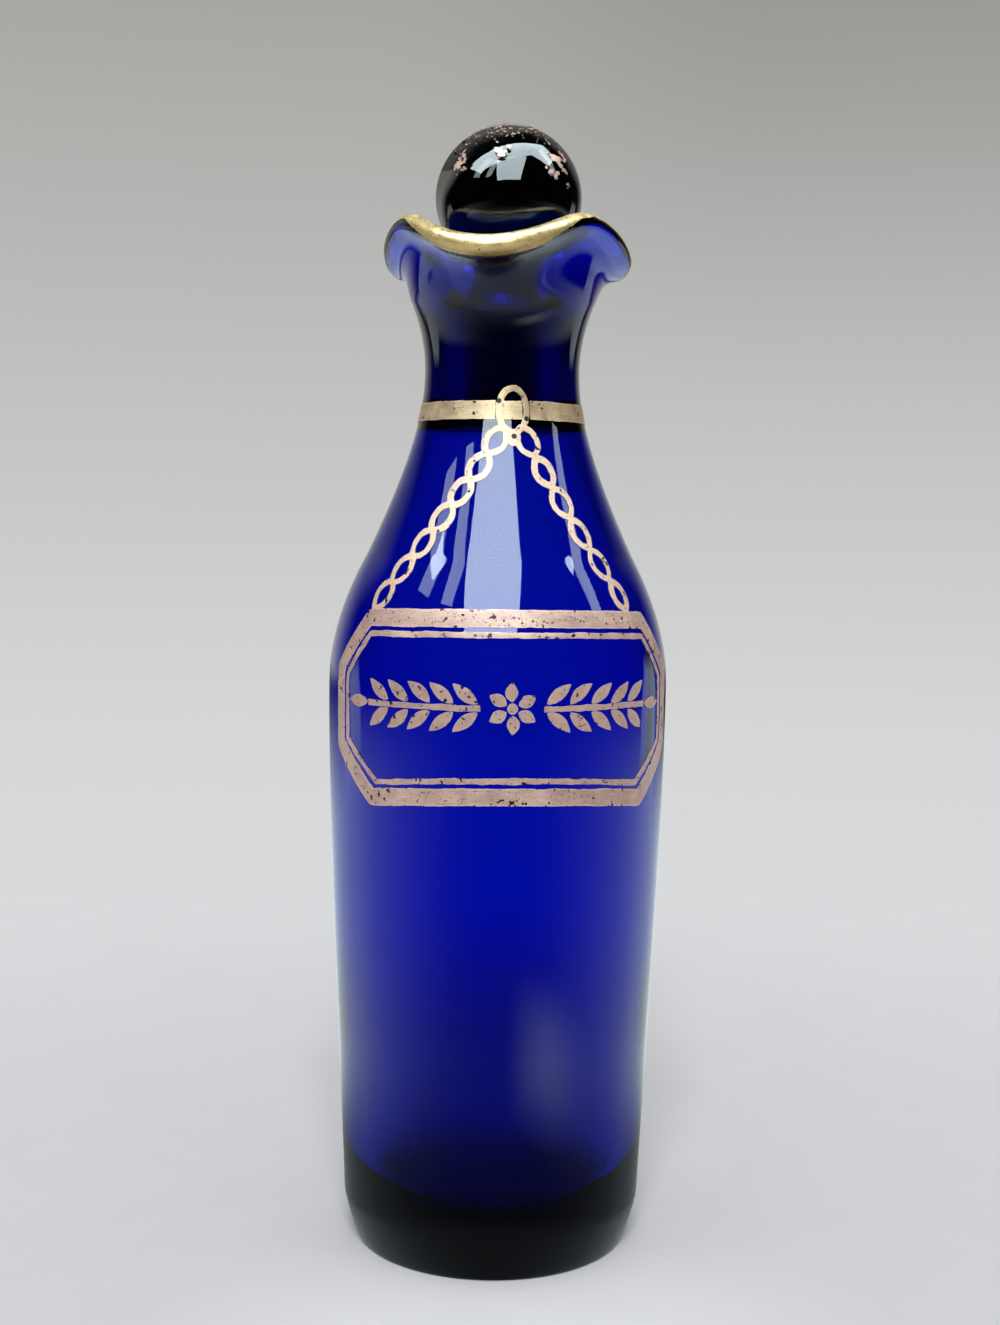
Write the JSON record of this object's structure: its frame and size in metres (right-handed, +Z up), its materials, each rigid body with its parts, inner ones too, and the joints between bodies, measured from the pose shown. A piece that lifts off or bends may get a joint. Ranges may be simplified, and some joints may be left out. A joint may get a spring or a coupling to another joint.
{
  "type": "condiment bottle",
  "caption": "Tall blown glass condiment bottle with a wavy flared lip, a ground ball stopper and painted gilding: neck band, hanging chain and eight-sided label border.",
  "frame": {"origin": "centre of the resting ring under the base, on the bottle's axis", "axes": "+Z up along the bottle's axis, -Y towards the front, where the label is, +X to the viewer's right"},
  "size_m": [0.0496, 0.0498, 0.1636],
  "materials": {
    "blue_glass": "polished cobalt blue glass",
    "stopper_glass": "polished cobalt blue glass with worn gilding on the ball",
    "gilding": "worn burnished gilding"
  },
  "bodies": {
    "root": {"bottle": "blue_glass", "stopper": "stopper_glass", "gilt_rim": "gilding", "gilt_neck_band": "gilding", "gilt_chain": "gilding", "gilt_label_border": "gilding", "gilt_leaf_spray": "gilding"}
  },
  "joints": []
}
